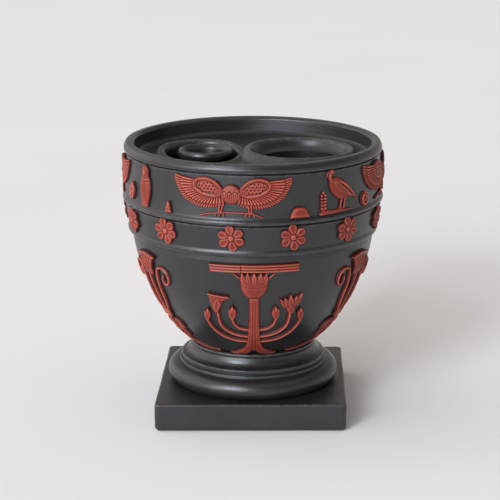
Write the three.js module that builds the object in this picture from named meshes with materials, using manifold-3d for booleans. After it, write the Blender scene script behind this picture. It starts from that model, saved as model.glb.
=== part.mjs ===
// Pyrophorus vase in black basalt stoneware with applied red stoneware reliefs.
// Millimetres, +Z up, origin on the table under the middle of the plinth, front facing -Y.
import * as THREE from 'three';
import { mergeVertices } from 'three/addons/utils/BufferGeometryUtils.js';
import Module from 'manifold-3d';

const wasm = await Module();
wasm.setup();

// Driving dimensions
const BED = 0.3; // clay bed left between a luted piece and what carries it
const TURN = 32; // sides of a full turn on the bowl, the deck and the foot
const CUP_TURN = 24; // sides of a full turn on the pot, the wells and the lips
const PLINTH = { side: 82.4, thick: 12.3, corner: 1.8, edge: 0.8 };
const FOOT = { low: PLINTH.thick + BED, high: 30.7, ledge: 31.9, neck: 27.7 };
const TORUS = { r: 33.4, z: 16.5, radius: 4.6 };
const BOWL = { low: 31, floor: 37.2, seat: 108.8 };
const UNDERSIDE = { r: -23.8, z: 90.1, radius: 77.5, wall: 5.2, low: 49.68, high: 7.6 };
const DECK = { radius: 51, low: 109.1, top: 112.6 };
const LARGE = { x: 20.4, hole: 17.7, crest: 22.7, outer: 26.4, top: 116.4 };
const SMALL = { x: -23, hole: 15.4, crest: 17.8, outer: 20.6, top: 116.2 };
const WELL = { wall: 2.6, floor: 66, thick: 3, corner: 2.6 };
const POT = { x: -20.9, body: 10.8, lip: 11.9, crest: 10.7, bore: 8.3, neck: 9.7, top: 115.3 };
const SUN = { z: 109, disc: 4.15, thick: 1.7, quills: 7, tierQuills: 5 };
const ROSETTE = { z: 90.2, radius: 5.5, thick: 0.95, boss: 1.35 };

// Angles round the bowl in degrees, from the front, anticlockwise seen from above
const SUN_ANGLES = [-8.1, 81.6, 174, -94.2];
const ROSETTE_ANGLES = [-65.6, -39.7, -8.3, 18.3, 46.1];
const ROSETTE_TURNS = [10, 14, 8, 6, 11]; // of the ones that the front shows
const ROSETTE_COUNT = 13;
const LOTUS_ANGLES = [1.6, 121.6, 241.6];
const SCROLL_ANGLES = [61.6, 181.6, -59];

const rad = THREE.MathUtils.degToRad;
const v2 = (x, y) => new THREE.Vector2(x, y);

// Solids

// Turns any closed geometry into a solid: shared vertices merged, faces pointing out.
function solid(geometry) {
  const bare = geometry.clone();
  bare.deleteAttribute('normal');
  bare.deleteAttribute('uv');
  const merged = mergeVertices(bare, 1e-4);
  const position = merged.attributes.position;
  const index = merged.index.array;
  const triangles = [];
  let volume = 0;
  const a = new THREE.Vector3();
  const b = new THREE.Vector3();
  const c = new THREE.Vector3();
  for (let i = 0; i < index.length; i += 3) {
    const [p, q, r] = [index[i], index[i + 1], index[i + 2]];
    if (p === q || q === r || r === p) continue;
    triangles.push(p, q, r);
    a.fromBufferAttribute(position, p);
    b.fromBufferAttribute(position, q);
    c.fromBufferAttribute(position, r);
    volume += a.dot(b.cross(c));
  }
  if (volume < 0) triangles.reverse();
  return new wasm.Manifold(new wasm.Mesh({
    numProp: 3,
    vertProperties: new Float32Array(position.array),
    triVerts: new Uint32Array(triangles),
  }));
}

const join = (solids) => solids.reduce((sum, next) => sum.add(next));

function geometryOf(positions, triangles) {
  const geometry = new THREE.BufferGeometry();
  geometry.setAttribute('position', new THREE.BufferAttribute(new Float32Array(positions), 3));
  geometry.setIndex(new THREE.BufferAttribute(new Uint32Array(triangles), 1));
  geometry.computeVertexNormals();
  return geometry;
}

function geometryFrom(manifold) {
  const mesh = manifold.getMesh();
  return geometryOf(mesh.vertProperties, mesh.triVerts);
}

// A turned solid: the profile is [radius, height] pairs from the axis back to the axis.
function turned(profile, sides, x = 0) {
  const geometry = new THREE.LatheGeometry(profile.map(([r, z]) => v2(r, z)), sides);
  geometry.rotateX(Math.PI / 2);
  geometry.translate(x, 0, 0);
  return solid(geometry);
}

function arc(cx, cy, radius, from, to, steps) {
  const points = [];
  for (let i = 0; i <= steps; i += 1) {
    const angle = rad(from + ((to - from) * i) / steps);
    points.push([cx + radius * Math.cos(angle), cy + radius * Math.sin(angle)]);
  }
  return points;
}

// Materials

const basalt = () => new THREE.MeshStandardMaterial({ color: 0x2b292b, roughness: 0.55, metalness: 0 });
const redware = () => new THREE.MeshStandardMaterial({ color: 0xb4523f, roughness: 0.7, metalness: 0 });

const vase = new THREE.Group();

function put(name, geometry, material) {
  const mesh = new THREE.Mesh(geometry, material);
  mesh.name = name;
  vase.add(mesh);
}

// Bowl: outside from the foot joint up over two beaded ledges to the rim, then down the inside

const LEDGES = [
  [53.4, 81.4], [54.8, 82], [55.1, 83], [54.8, 84.3], [56.2, 95.8],
  [57.2, 96.2], [57.4, 97.1], [56.8, 98.3], [56.1, 103], [55.9, 117.2], [56.5, 117.7],
];
const RIM = [[56.5, 119.7], [55.7, 120.7], [54.6, 121], [53.2, 121], [52.2, 120.6], [51.9, 119.6]];
const outside = [
  ...arc(UNDERSIDE.r, UNDERSIDE.z, UNDERSIDE.radius, -UNDERSIDE.low, -UNDERSIDE.high, 6),
  ...LEDGES,
  ...RIM,
];
const inside = [
  [51.4, BOWL.seat], [48.8, BOWL.seat],
  ...arc(UNDERSIDE.r, UNDERSIDE.z, UNDERSIDE.radius - UNDERSIDE.wall, -7, -45.5, 3),
  [23.5, BOWL.floor],
];
const bowl = turned([[0, BOWL.low], ...outside, ...inside, [0, BOWL.floor]], TURN);
put('bowl', geometryFrom(bowl), basalt());

// Deck: a plate with a fillet up to the wall, a wide lip on the right, a narrow one on the left

const plate = turned([
  [0, DECK.low], [DECK.radius, DECK.low], [DECK.radius, 116.2], [50.3, 114.4], [49, 113.2],
  [47.2, DECK.top], [0, DECK.top],
], TURN);

function lipBody({ x, crest, outer, top }) {
  return turned([
    [0, DECK.low], [outer, DECK.low], [outer, DECK.top], [crest + 1.9, DECK.top + 0.9],
    [crest + 0.9, top - 0.8], [crest, top], [0, top],
  ], CUP_TURN, x);
}

// The space inside a lip: a straight hole, then whatever profile leads out to the crest
function bore({ x, hole, crest, top }, flare) {
  return turned([
    [0, DECK.low - 1], [hole, DECK.low - 1], ...flare,
    [crest - 0.5, top], [crest - 0.5, top + 1], [0, top + 1],
  ], CUP_TURN, x);
}

const largeFlare = [
  [LARGE.hole, 112.8], [LARGE.hole + 0.7, 113.7], [LARGE.hole + 2.6, 114.5],
  [LARGE.crest - 1.4, LARGE.top - 0.9],
];
const smallFlare = [[SMALL.hole, SMALL.top - 1.5], [SMALL.hole + 0.7, SMALL.top - 0.4]];
const lips = join([plate, lipBody(LARGE), lipBody(SMALL)]);
const deck = lips.subtract(bore(LARGE, largeFlare)).subtract(bore(SMALL, smallFlare));
put('deck', geometryFrom(deck), basalt());

// Wells: thrown cups luted under the deck

function well({ x, hole }) {
  const top = DECK.low - BED;
  const outer = hole + WELL.wall;
  return turned([
    [0, WELL.floor - WELL.thick], [outer - WELL.corner, WELL.floor - WELL.thick],
    [outer, WELL.floor - WELL.thick + WELL.corner], [outer, top], [hole, top],
    [hole, WELL.floor + WELL.corner], [hole - WELL.corner, WELL.floor], [0, WELL.floor],
  ], CUP_TURN, x);
}
put('small_well', geometryFrom(well(SMALL)), basalt());
put('large_well', geometryFrom(well(LARGE)), basalt());

// Pot: a straight body, a drawn-in neck and a rolled lip

const potBase = WELL.floor + BED;
const pot = turned([
  [0, potBase], [POT.body - 1.2, potBase], [POT.body, potBase + 1.6], [POT.body, 105],
  [POT.neck, 109.6], [POT.neck + 0.4, 111.7], [POT.lip - 0.4, 112.5], [POT.lip, 113.7],
  [POT.lip - 0.5, 114.9], [POT.crest, POT.top], [POT.crest - 1.1, 114.8], [POT.bore + 0.5, 113.4],
  [POT.bore, 109], [POT.bore, potBase + 3.2], [0, potBase + 3.2],
], CUP_TURN, POT.x);
put('pot', geometryFrom(pot), basalt());

// Foot: a large torus, two narrow fillets, and a hollow moulding up to a bead under the bowl

const foot = turned([
  [0, FOOT.low], ...arc(TORUS.r, TORUS.z, TORUS.radius, -58, 77, 6),
  [FOOT.ledge + 0.9, 21.3], [FOOT.ledge + 0.9, 22.2], [FOOT.ledge - 0.2, 22.6], [FOOT.ledge, 23.1],
  [FOOT.ledge, 24.2], [30.2, 24.9], [28.8, 26.2], [28.1, 27.7], [FOOT.neck - 0.1, 29.2],
  [FOOT.neck, 29.9], [FOOT.neck - 0.8, FOOT.high], [0, FOOT.high],
], TURN);
put('foot', geometryFrom(foot), basalt());

// Plinth: a square slab with its corners and edges slightly rounded

function roundedSquare(side, corner) {
  const h = side / 2;
  const shape = new THREE.Shape();
  for (let k = 0; k < 4; k += 1) {
    const angle = (k * Math.PI) / 2;
    const cx = (k === 0 || k === 3 ? 1 : -1) * (h - corner);
    const cy = (k < 2 ? 1 : -1) * (h - corner);
    shape.absarc(cx, cy, corner, angle, angle + Math.PI / 2);
  }
  return shape;
}
const slab = new THREE.ExtrudeGeometry(roundedSquare(PLINTH.side, PLINTH.corner), {
  depth: PLINTH.thick - 2 * PLINTH.edge,
  bevelThickness: PLINTH.edge,
  bevelSize: PLINTH.edge,
  bevelOffset: -PLINTH.edge,
  bevelSegments: 1,
  curveSegments: 2,
});
slab.translate(0, 0, PLINTH.edge);
put('plinth', geometryFrom(solid(slab)), basalt());

// Reliefs are first built flat: x across, y up the wall, z out from it, the back at z = 0.

const RAISED_FROM = 0.4;
const FRONT_HALF = solid(new THREE.BoxGeometry(90, 90, 6).translate(0, 0, 3));

// A shape pressed to a thickness, with its front edge eased where ease is given.
function pressed(shape, thick, ease = 0, curveSegments = 5) {
  const geometry = new THREE.ExtrudeGeometry(shape, {
    depth: thick,
    bevelEnabled: ease > 0,
    bevelThickness: ease,
    bevelSize: ease,
    bevelOffset: -ease,
    bevelSegments: 1,
    curveSegments,
  });
  if (ease === 0) return solid(geometry);
  geometry.translate(0, 0, -ease);
  return solid(geometry).intersect(FRONT_HALF);
}

// A shape that stands up from inside a lower one, which backs it all over
const raised = (shape, thick) => pressed(shape, thick - RAISED_FROM).translate([0, 0, RAISED_FROM]);

function polygon(points) {
  return new THREE.Shape(points.map(([x, y]) => v2(x, y)));
}

// A closed smooth outline through a few points
function blob(points, steps) {
  const curve = new THREE.CatmullRomCurve3(points.map(([x, y]) => new THREE.Vector3(x, y, 0)), true);
  return polygon(curve.getPoints(steps).slice(0, -1).map((p) => [p.x, p.y]));
}

function ellipse(cx, cy, rx, ry, sides, tilt = 0) {
  const points = [];
  for (let i = 0; i < sides; i += 1) {
    const angle = (2 * Math.PI * i) / sides;
    const [x, y] = [rx * Math.cos(angle), ry * Math.sin(angle)];
    points.push([
      cx + x * Math.cos(tilt) - y * Math.sin(tilt),
      cy + x * Math.sin(tilt) + y * Math.cos(tilt),
    ]);
  }
  return polygon(points);
}

// A stem of changing width along a smooth line
function stem(points, from, to, steps, tip = 0) {
  const curve = new THREE.SplineCurve(points.map(([x, y]) => v2(x, y)));
  const left = [];
  const right = [];
  for (let i = 0; i <= steps; i += 1) {
    const t = i / steps;
    const p = curve.getPoint(t);
    const d = curve.getTangent(t);
    const half = (from + (to - from) * t) / 2;
    left.push([p.x - d.y * half, p.y + d.x * half]);
    right.unshift([p.x + d.y * half, p.y - d.x * half]);
    if (i === steps && tip > 0) left.push([p.x + d.x * tip, p.y + d.y * tip]);
  }
  return polygon([...left, ...right]);
}

// A pointed leaf from base to tip, widest at the given share of its length
function leaf(base, tip, width, belly = 0.55) {
  const [dx, dy] = [tip[0] - base[0], tip[1] - base[1]];
  const length = Math.hypot(dx, dy);
  const side = (share, half) => [
    base[0] + dx * share - (dy / length) * half,
    base[1] + dy * share + (dx / length) * half,
  ];
  return polygon([
    side(0, width * 0.2), side(0, -width * 0.2), side(belly, -width * 0.5), tip, side(belly, width * 0.5),
  ]);
}

const mirrored = (manifold) => manifold.mirror([1, 0, 0]);
const bothSides = (manifold) => manifold.add(mirrored(manifold));

// The longest edge that stays clear of the bowl's round, across it and down its underside
const LONGEST = { across: 7.7, down: 10.5 };

// Splits edges that are too long to follow the bowl, alike on both sides of every edge.
function refine(positions, triangles, across, along) {
  const points = Array.from(positions);
  let current = Array.from(triangles);
  for (;;) {
    const middles = new Map();
    const middle = (a, b) => {
      const key = a < b ? `${a} ${b}` : `${b} ${a}`;
      if (middles.has(key)) return middles.get(key);
      const dx = Math.abs(points[3 * a] - points[3 * b]);
      const dy = Math.abs(points[3 * a + 1] - points[3 * b + 1]);
      let made = -1;
      if (dx > across || dy > along) {
        made = points.length / 3;
        for (let k = 0; k < 3; k += 1) points.push((points[3 * a + k] + points[3 * b + k]) / 2);
      }
      middles.set(key, made);
      return made;
    };
    const next = [];
    for (let i = 0; i < current.length; i += 3) {
      let corners = [current[i], current[i + 1], current[i + 2]];
      const [a, b, c] = corners;
      let mids = [middle(a, b), middle(b, c), middle(c, a)];
      const count = mids.filter((m) => m >= 0).length;
      while ((count === 1 && mids[0] < 0) || (count === 2 && mids[2] >= 0)) {
        corners = [corners[1], corners[2], corners[0]];
        mids = [mids[1], mids[2], mids[0]];
      }
      const [p, q, r] = corners;
      const [m, n, o] = mids;
      if (count === 0) next.push(p, q, r);
      if (count === 1) next.push(p, m, r, m, q, r);
      if (count === 2) next.push(m, q, n, p, m, n, p, n, r);
      if (count === 3) next.push(p, m, o, m, q, n, o, n, r, m, n, o);
    }
    if (next.length === current.length) return [points, current];
    current = next;
  }
}

// Radius of the bowl's wall at a height above the underside
function wallRadius(z) {
  const i = Math.max(1, LEDGES.findIndex((point) => point[1] >= z));
  const [[r0, z0], [r1, z1]] = [LEDGES[i - 1], LEDGES[i]];
  return r0 + ((r1 - r0) * (z - z0)) / (z1 - z0);
}

// Bends a flat relief on to the upright walls, its origin at the given height.
function onWall(flat, degrees, height) {
  const mesh = flat.getMesh();
  const [points, triangles] = refine(mesh.vertProperties, mesh.triVerts, LONGEST.across, 90);
  for (let i = 0; i < points.length; i += 3) {
    const z = height + points[i + 1];
    const skin = wallRadius(z) + BED;
    const angle = rad(degrees) + points[i] / skin;
    const r = skin + points[i + 2];
    points[i] = r * Math.sin(angle);
    points[i + 1] = -r * Math.cos(angle);
    points[i + 2] = z;
  }
  return geometryOf(points, triangles);
}

// Bends a flat relief on to the rounded underside, y = 0 at the height where it starts.
const UNDERSIDE_TOP = 80;
function onUnderside(flat, degrees) {
  const mesh = flat.getMesh();
  const [points, triangles] = refine(mesh.vertProperties, mesh.triVerts, LONGEST.across, LONGEST.down);
  const start = Math.asin((UNDERSIDE.z - UNDERSIDE_TOP) / UNDERSIDE.radius);
  for (let i = 0; i < points.length; i += 3) {
    const slope = start - points[i + 1] / UNDERSIDE.radius;
    const reach = UNDERSIDE.radius + BED + points[i + 2];
    const skin = UNDERSIDE.r + UNDERSIDE.radius * Math.cos(slope);
    const angle = rad(degrees) + points[i] / skin;
    const r = UNDERSIDE.r + reach * Math.cos(slope);
    points[i] = r * Math.sin(angle);
    points[i + 1] = -r * Math.cos(angle);
    points[i + 2] = UNDERSIDE.z - reach * Math.sin(slope);
  }
  return geometryOf(points, triangles);
}

// Winged sun: a domed disc between two wings, on short legs that grip a twig

// The lines that bound the wing's rows of feathers, from the disc out to the wing's tip
const COVERT = [[3.9, -1.6], [8, -2.1], [12.4, -1.2], [15.4, 0.8], [16.7, 3.2], [16.3, 5.4]];
const TIER = [[3.4, -3.3], [8, -3.9], [13, -3.5], [17.6, -1.7], [20.8, 1.1], [21.9, 3.9], [21.4, 5.9]];
const EDGE = [
  [3.2, -4.3], [9.5, -5.75], [13.5, -5.5], [17.3, -4.3], [20.6, -2.4], [23, 0.3], [24.4, 3], [24.9, 6.3],
];
const SHOULDER = [[16.2, 5.7], [14.2, 6.5], [9.6, 7], [5.2, 4.8]];

const spline = (points) => new THREE.SplineCurve(points.map(([x, y]) => v2(x, y)));

// A row of feathers with rounded ends between two lines: the plate that all of them share, closed
// over the given points, and every other feather raised on it
function feathers(inner, outer, closing, count, low, high, raise) {
  const [roots, tips] = [spline(inner), spline(outer)];
  const at = (line, k) => line.getPointAt(k / count).toArray();
  const end = (i) => {
    const tip = tips.getPointAt((i + 0.5) / count);
    return tip.clone().sub(roots.getPointAt((i + 0.5) / count)).setLength(0.45).add(tip).toArray();
  };
  const rows = Array.from({ length: count }, (_, i) => i);
  const plate = polygon([...rows.flatMap((i) => [at(tips, i), end(i)]), at(tips, count), ...closing]);
  const blades = rows.filter((i) => i % 2 === 1).map(
    (i) => raise(polygon([at(roots, i), at(tips, i), end(i), at(tips, i + 1), at(roots, i + 1)]), high),
  );
  return join([raise(plate, low), ...blades]);
}

function wing() {
  const covert = blob([
    [3.5, 0], [5, 4.5], [9.6, 6.9], [14.2, 6.4], [16.2, 3.6], [14.2, 0], [9.6, -1.6], [5.4, -1.6],
  ], 10);
  const root = [[3, 1.2], [2.6, -2]];
  return join([
    feathers(COVERT, EDGE, [...SHOULDER, ...root], SUN.quills, 0.8, 1.05, pressed),
    feathers(COVERT, TIER, [[13.6, 5.4], [9, 2], ...root], SUN.tierQuills, 1.15, 1.3, raised),
    raised(covert, 1.5),
  ]);
}

function leg(x, reach) {
  return pressed(polygon([
    [x - 0.8, -3.4], [x + 0.5, -3.4], [x + 0.5, -8], [x + reach, -9.7], [x, -8.9], [x - reach, -9.7],
    [x - 0.5, -8],
  ]), 1.1);
}

function wingedSun() {
  const twig = stem([[-13.2, -9.4], [-9, -8.5], [0, -7.9], [8, -8], [13, -9.6]], 0.8, 0.7, 3);
  return join([
    bothSides(wing()),
    pressed(ellipse(0, 0, SUN.disc, SUN.disc, 10), SUN.thick, 0.6),
    leg(-4.8, 1.9), leg(8, 2), pressed(twig, 0.85),
  ]);
}

// Rosette: six round petals about a boss

function rosette() {
  const points = [];
  for (let k = 0; k < 6; k += 1) {
    [[-30, 0.42], [-14, 0.96], [14, 0.96]].forEach(([degrees, share]) => {
      const angle = rad(90 + 60 * k + degrees);
      const r = ROSETTE.radius * share;
      points.push([r * Math.cos(angle), r * Math.sin(angle)]);
    });
  }
  return pressed(polygon(points), ROSETTE.thick).add(raised(ellipse(0, 0, 1.4, 1.4, 6), ROSETTE.boss));
}

// Ibis on a ground line, with a small plant before it

function ibis() {
  const body = polygon([
    [-4.4, 6.4], [-2, 5.6], [2.4, 3.4], [6, 0.2], [10.8, -5.8], [5.6, -4.9], [0.6, -4.9],
    [-3.4, -2], [-5.6, 1.6], [-5.6, 5.4],
  ]);
  const wingFold = leaf([-2.6, 2.6], [8.2, -4], 4.6, 0.4);
  const neck = stem([[-4.6, 4.6], [-5.1, 6.4], [-4.1, 7.6]], 2.2, 1.6, 2);
  const head = ellipse(-4.2, 7.9, 1.5, 1.15, 8);
  const beak = stem([[-4.6, 8], [-6.4, 7.4], [-7.1, 5.8]], 1, 0.6, 2);
  const stalk = stem([[-8.3, -8.8], [-8.3, -1]], 0.9, 0.7, 1);
  const shins = [[1, -4.4, 0.3, -8.4], [3, -4.4, 2.4, -8.4]].map(
    ([x0, y0, x1, y1]) => pressed(stem([[x0, y0], [x1, y1]], 1, 0.8, 1), 0.9),
  );
  const ground = polygon([[-10.4, -10.1], [7.4, -9.7], [5, -8.7], [-1, -8.2], [-9.4, -8.6]]);
  const sprays = [-7.4, -5, -2.6].map((y) => leaf([-8.3, y - 1.4], [-8.3, y + 2.2], 3));
  return join([
    pressed(body, 1), raised(wingFold, 1.4), pressed(neck, 1.1), pressed(head, 1.25),
    pressed(beak, 0.8), ...shins, pressed(ground, 1), pressed(stalk, 0.8),
    ...sprays.map((shape, i) => pressed(shape, 0.95 + 0.05 * i)),
  ]);
}

// Jar with a head-shaped lid

function jar() {
  const body = blob([
    [-3.1, -8.6], [0, -9], [3.1, -8.6], [4.4, -3.4], [4.2, 1.6], [2.6, 4], [-2.6, 4], [-4.2, 1.6],
    [-4.4, -3.4],
  ], 14);
  const cloth = polygon([[-2.8, 2.9], [2.8, 2.9], [2.6, 6.2], [1.6, 8.2], [-1.6, 8.2], [-2.6, 6.2]]);
  return join([
    pressed(body, 1.5, 0.5), pressed(cloth, 1.2), raised(ellipse(0, 5.6, 1.4, 1.9, 8), 1.7),
  ]);
}

// An oval sign with a raised middle
const oval = (rx, ry) => pressed(ellipse(0, 0, rx, ry, 12), 1)
  .add(raised(ellipse(0, 0, rx * 0.52, ry * 0.56, 8), 1.4));
const mound = () => pressed(blob([
  [-4.4, -2.3], [0, -2.4], [4.4, -2.3], [3.4, 1], [1.9, 2.3], [-1.9, 2.3], [-3.4, 1],
], 12), 1.45, 0.45);
const cone = () => pressed(blob([
  [-2.2, -2.4], [0, -2.6], [2.2, -2.4], [1.3, 1], [0, 2.6], [-1.3, 1],
], 10), 1.3, 0.35);

// Lotus column: a reeded slab on a bell capital, a splayed shaft and three pairs of branches

function openFlower(x, y) {
  const cup = polygon([
    [x - 0.9, y], [x + 0.9, y], [x + 2.9, y + 4.4], [x + 5.2, y + 9.2], [x + 2.1, y + 7.4],
    [x - 2, y + 7.2], [x - 4.9, y + 8], [x - 2.6, y + 4.4],
  ]);
  return pressed(cup, 1).add(raised(leaf([x, y + 0.8], [x, y + 7.1], 2.6), 1.3));
}

// A closed cup seen from the side, its brim higher on the left
function closedFlower(x, y) {
  const cup = polygon([
    [x - 0.9, y], [x + 0.9, y], [x + 2.6, y + 3.8], [x + 5.6, y + 7.6], [x + 0.6, y + 8.3],
    [x - 4.2, y + 10.4], [x - 2.9, y + 4.4],
  ]);
  return pressed(cup, 1.15);
}

const bud = (x, y, lean) => pressed(leaf([x, y], [x + lean, y + 8.8], 3.7, 0.5), 1.3);

// A bar with three reeds along it, in equal lengths that can follow the bowl
function reededSlab(half, low, high) {
  const pitch = (high - low) / 3;
  const profile = [[low, 0], [low, 1]];
  for (let i = 0; i < 3; i += 1) {
    profile.push([low + pitch * (i + 0.5), 1.45], [low + pitch * (i + 1), 1]);
  }
  profile.push([high, 0]);
  const shape = new THREE.Shape(profile.map(([y, z]) => v2(-z, y)));
  const geometry = new THREE.ExtrudeGeometry(shape, { depth: 2 * half, steps: 5, bevelEnabled: false });
  geometry.rotateY(Math.PI / 2);
  geometry.translate(-half, 0, 0);
  return solid(geometry);
}

function lotusColumn() {
  const bell = polygon([
    [-5.7, -6.6], [5.7, -6.6], [6, -11], [4.6, -15.4], [2.4, -17.6], [-2.4, -17.6], [-4.6, -15.4], [-6, -11],
  ]);
  const halfShaft = [
    [2.2, -17], [2.4, -30], [2.9, -44], [4.6, -50.4], [9.9, -55.2], [3, -55.4], [0, -50.6],
  ];
  const shaft = polygon([
    ...halfShaft.map(([x, y]) => [-x, y]),
    ...halfShaft.slice(0, -1).reverse(),
  ]);
  const petals = [-3.6, 0, 3.6].map((x) => leaf([x * 0.8, -12.5], [x * 1.1, -5], 3, 0.5));
  const bands = [[-17.9, 2.3], [-38, 2.5]].map(([y, half]) => polygon([
    [-half, y - 0.6], [half, y - 0.6], [half, y + 0.6], [-half, y + 0.6],
  ]));
  const branches = [
    stem([[2, -36.5], [5.6, -35.4], [8.2, -32.6], [9.1, -29.4]], 1.7, 1.4, 3),
    stem([[2, -41], [7, -39.8], [11.6, -36.8], [14.4, -32.6], [15.6, -25.6]], 1.9, 1.5, 5),
    stem([[2, -44.8], [8, -43.8], [13.6, -41], [17.6, -36.8], [19.9, -31]], 1.9, 1.4, 5),
  ];
  return join([
    reededSlab(19.1, -5.1, -1.5),
    pressed(bell, 1.3),
    ...petals.map((shape) => raised(shape, 1.6)),
    bothSides(pressed(leaf([4.4, -9.6], [9.2, -4.9], 2.2, 0.4), 1.15)),
    pressed(shaft, 1.1),
    ...bands.map((shape) => raised(shape, 1.4)),
    ...branches.map((shape) => bothSides(pressed(shape, 1))),
    bothSides(bud(9.1, -30.2, -0.1).add(bud(19.8, -32.4, 0.4))),
    closedFlower(-15.6, -26), openFlower(15.6, -26),
  ]);
}

// Scroll plant: an open capital on three stems, a volute on each side, tied over a drooping calyx

function scrollPlant() {
  const capital = polygon([
    [-6.1, -4.2], [-3.2, -3], [0, -2.5], [3.2, -3], [6.1, -4.2], [4.8, -7], [3.9, -9.4], [3.4, -12.6],
    [-3.4, -12.6], [-3.9, -9.4], [-4.8, -7],
  ]);
  const volute = [
    [1.6, -32], [4.6, -27.6], [6.2, -22], [6.2, -16.4], [6.4, -11.4], [9, -8.3], [12.4, -8.1],
    [15, -10.6], [14.9, -14.2], [12.4, -16.2], [10.2, -14.6], [10.6, -12.2],
  ];
  const calyx = polygon([
    [-2.4, -33.6], [2.4, -33.6], [4.6, -37], [6.4, -41.4], [3.4, -40.2], [3.6, -43.4], [5.2, -47],
    [2.2, -46.4], [0.9, -54.6], [-0.9, -54.6], [-2.2, -46.4], [-5.2, -47], [-3.6, -43.4], [-3.4, -40.2],
    [-6.4, -41.4], [-4.6, -37],
  ]);
  return join([
    pressed(capital, 1.15), raised(leaf([0, -12.4], [0, -2.8], 3.6), 1.45),
    bothSides(raised(leaf([1.7, -12], [4.1, -4.2], 2.2), 1.35)),
    pressed(stem([[0, -12], [0, -33]], 2.4, 1.6, 2), 1.3),
    bothSides(pressed(stem(volute, 1.9, 1.7, 14), 1.1)),
    pressed(polygon([[-2.9, -34], [2.9, -34], [2.9, -31.6], [-2.9, -31.6]]), 1.5),
    pressed(calyx, 1.1), raised(leaf([0, -46], [0, -34.6], 2.6), 1.45),
  ]);
}

// Placing the reliefs

const applied = [];
const sun = wingedSun();
SUN_ANGLES.forEach((angle, i) => applied.push([`winged_sun_${i + 1}`, onWall(sun, angle, SUN.z)]));

const seen = ROSETTE_ANGLES.length;
const gap = (360 + ROSETTE_ANGLES[0] - ROSETTE_ANGLES[seen - 1]) / (ROSETTE_COUNT - seen + 1);
for (let i = 0; i < ROSETTE_COUNT; i += 1) {
  const last = ROSETTE_ANGLES[seen - 1];
  const angle = i < seen ? ROSETTE_ANGLES[i] : last + gap * (i - seen + 1);
  const turn = i < seen ? ROSETTE_TURNS[i] : 8 + 7 * Math.sin(2.4 * i);
  const name = `rosette_${String(i + 1).padStart(2, '0')}`;
  applied.push([name, onWall(rosette().rotate([0, 0, turn]), angle, ROSETTE.z)]);
}

const between = (i, share) => {
  const next = SUN_ANGLES[(i + 1) % 4];
  const span = (next - SUN_ANGLES[i] + 360) % 360;
  return SUN_ANGLES[i] + span * share;
};
[[0, 1], [2, 2]].forEach(([interval, n]) => {
  applied.push([`mound_${n}`, onWall(mound(), between(interval, 0.322), 100.8)]);
  applied.push([`ibis_${n}`, onWall(ibis(), between(interval, 0.54), 108.6)]);
  applied.push([`oval_${2 * n - 1}`, onWall(oval(2.9, 3.15), between(interval, 0.727), 101.6)]);
});
[[3, 1], [1, 2]].forEach(([interval, n]) => {
  applied.push([`oval_${2 * n}`, onWall(oval(2.5, 4), between(interval, 0.352), 103.5)]);
  applied.push([`jar_${n}`, onWall(jar(), between(interval, 0.49), 107.9)]);
  applied.push([`cone_${n}`, onWall(cone(), between(interval, 0.662), 101.2)]);
});

const column = lotusColumn();
LOTUS_ANGLES.forEach((angle, i) => applied.push([`lotus_column_${i + 1}`, onUnderside(column, angle)]));
const scroll = scrollPlant();
SCROLL_ANGLES.forEach((angle, i) => applied.push([`scroll_plant_${i + 1}`, onUnderside(scroll, angle)]));

applied.forEach(([name, geometry]) => put(name, geometry, redware()));

export default vase;
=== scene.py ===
"""Looks of the pyrophorus vase: black basalt ware with applied red reliefs, in soft studio light."""

import math

import bpy
import numpy as np
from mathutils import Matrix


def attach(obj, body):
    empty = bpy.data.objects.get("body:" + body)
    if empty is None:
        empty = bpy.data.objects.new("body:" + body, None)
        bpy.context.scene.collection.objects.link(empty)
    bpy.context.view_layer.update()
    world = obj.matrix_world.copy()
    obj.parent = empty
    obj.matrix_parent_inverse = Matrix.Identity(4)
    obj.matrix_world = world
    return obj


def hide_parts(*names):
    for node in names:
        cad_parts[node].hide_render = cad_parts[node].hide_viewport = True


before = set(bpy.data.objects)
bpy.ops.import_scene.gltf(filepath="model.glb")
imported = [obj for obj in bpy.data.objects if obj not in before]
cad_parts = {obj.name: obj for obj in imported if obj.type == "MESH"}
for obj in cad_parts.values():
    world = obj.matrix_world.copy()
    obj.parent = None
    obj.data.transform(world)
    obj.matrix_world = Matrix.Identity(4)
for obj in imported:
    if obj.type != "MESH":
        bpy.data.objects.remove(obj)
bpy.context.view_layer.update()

# Sizes in millimetres, as in the frame
MM = 0.001
SINK = 0.3  # how far below the wall's skin a relief's width is true
BACK = -0.25  # how deep a relief's back sits in the wall
UNDERSIDE = {"r": -23.8, "z": 90.1, "radius": 77.5, "top": 80.0}  # centre and radius of its arc
BOWL = {"wall": 5.2, "floor": 37.2, "low": 31, "seat": 108.8, "rim": 121}
FRIEZE = (81, 117.3)  # heights between which the wall carries reliefs
DECK = {"low": 109.1, "radius": 52.3, "foot_of_lip": 112.5}
LARGE = {"x": 20.25, "hole": 17.8, "inside": 21.5}
SMALL = {"x": -22.6, "hole": 15.8, "inside": 17}
WELL = {"low": 63, "floor": 66, "top": 109.3, "wall": 2.6, "play": 0.02}
POT_X = -20.9
TORUS = {"r": 33.4, "z": 16.5, "radius": 4.6}
PLINTH = {"side": 82.4, "thick": 12.3, "corner": 1.9, "foot_round": 2, "edge_round": 0.7}
CELL = 0.17  # pitch of the grid that carries a relief
TURN = 192

# Angles round the bowl in degrees, from the front, anticlockwise seen from above
SUN_ANGLES = [-8.1, 81.6, 174, -94.2]
ROSETTE_ANGLES = [-65.6, -39.7, -8.3, 18.3, 46.1]
ROSETTE_TURNS = [10, 14, 8, 6, 11]
ROSETTE_COUNT = 13
LOTUS_ANGLES = [1.6, 121.6, 241.6]
SCROLL_ANGLES = [61.6, 181.6, -59]


# Curves and meshes

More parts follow.
